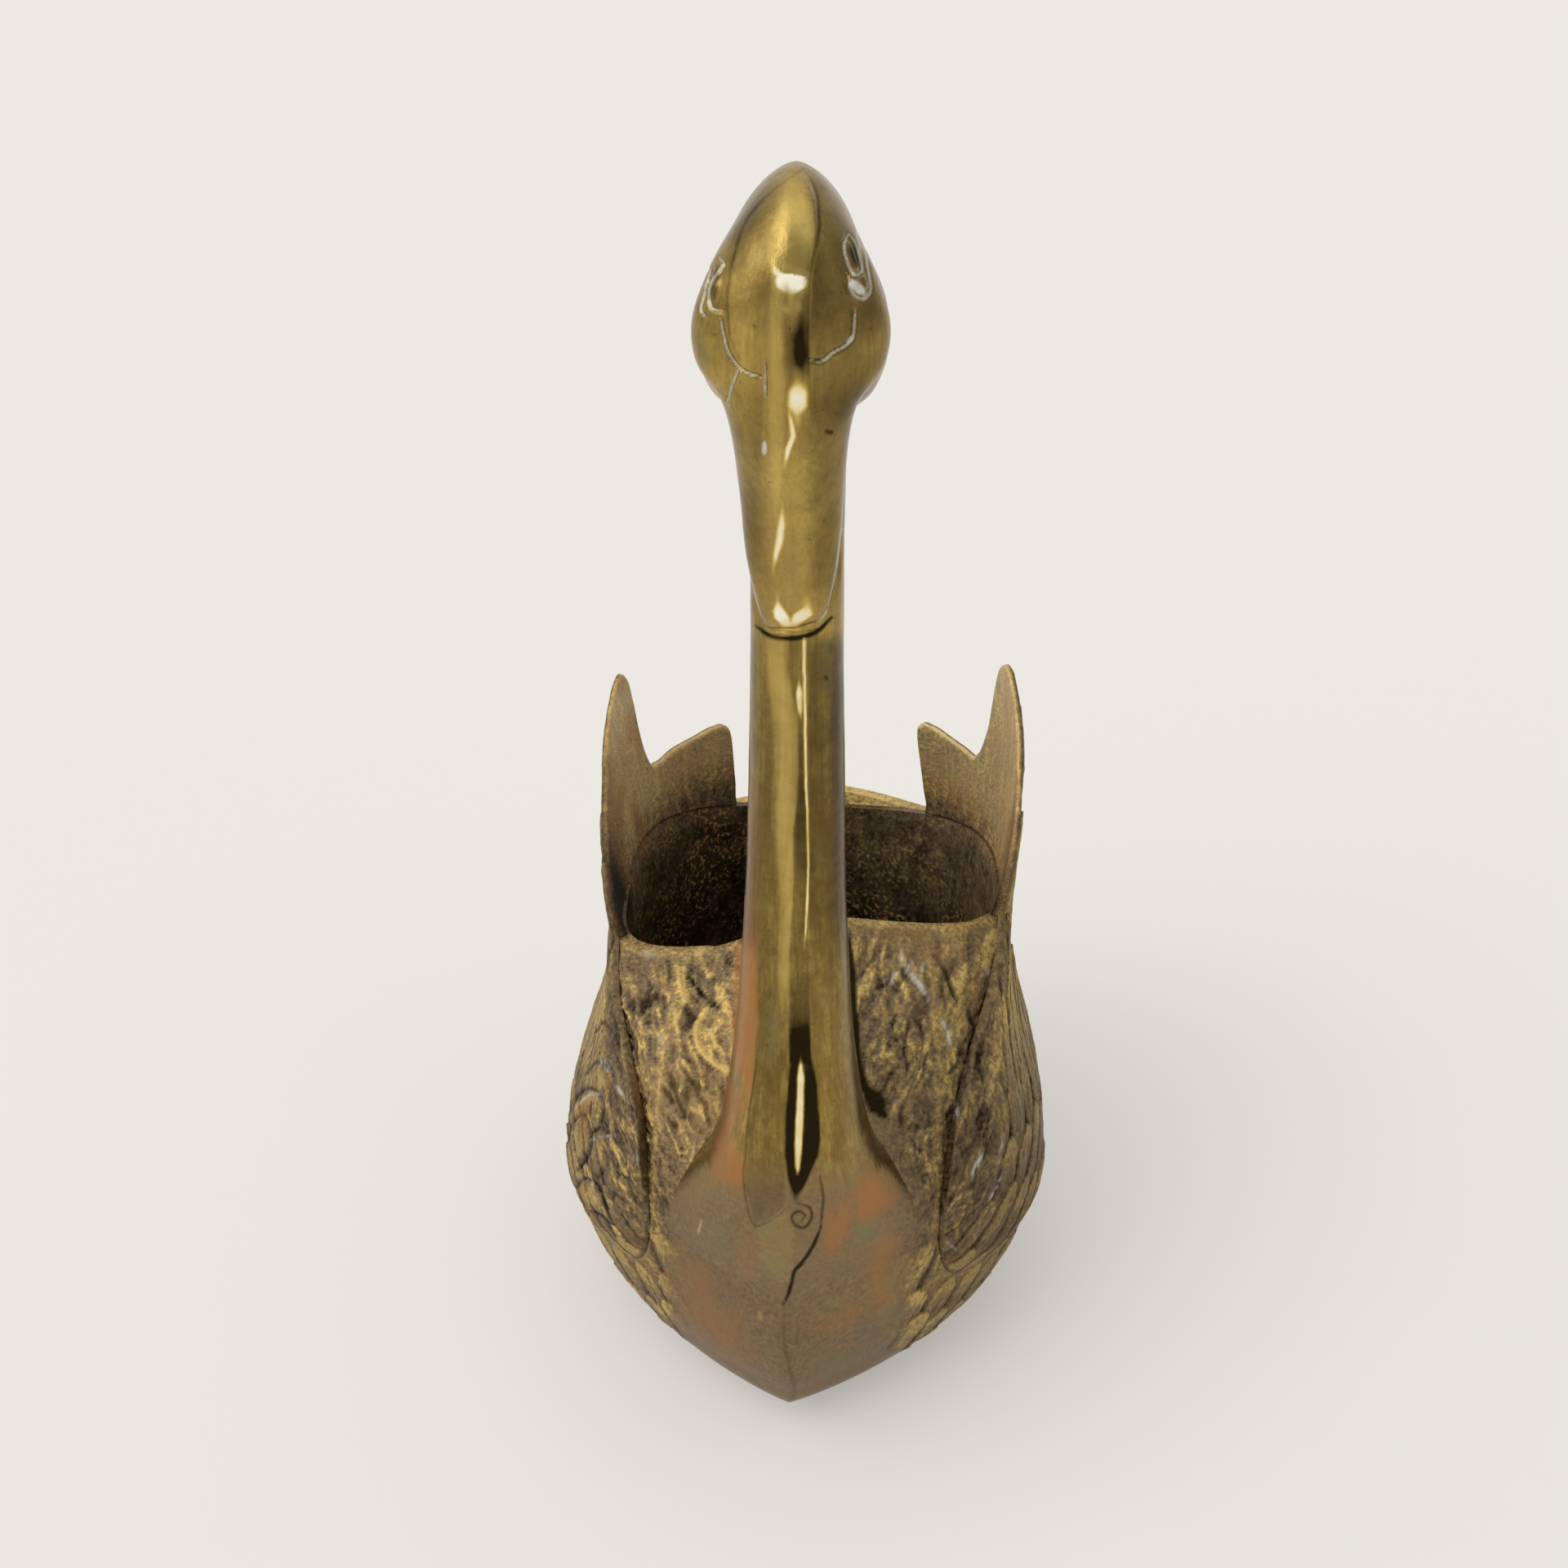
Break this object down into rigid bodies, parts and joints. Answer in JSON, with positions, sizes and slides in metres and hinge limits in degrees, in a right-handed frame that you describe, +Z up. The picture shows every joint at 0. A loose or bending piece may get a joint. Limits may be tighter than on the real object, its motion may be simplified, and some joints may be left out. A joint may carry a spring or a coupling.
{
  "type": "swan planter",
  "caption": "Standing swan planter in cast brass: open bowl body, two raised wings, low tail, tall neck with the head bent down and the bill resting on the neck.",
  "frame": {"origin": "on the standing plane, under the middle of the overall outline", "axes": "+Z up, the swan looks along -Y, its left side lies towards +X"},
  "size_m": [0.1218, 0.1688, 0.2987],
  "materials": {
    "aged_brass": "aged brown-gold casting with worked feather texture, dark and rough inside the bowl",
    "worn_brass": "worn brown-gold casting with feather texture and scratched inner faces",
    "polished_brass": "polished, slightly uneven, with copper-red heat tint low on the neck"
  },
  "bodies": {
    "root": {"left_hull_half": "aged_brass", "right_hull_half": "aged_brass", "left_wing": "worn_brass", "right_wing": "worn_brass", "tail": "worn_brass", "neck_and_head": "polished_brass"}
  },
  "joints": []
}
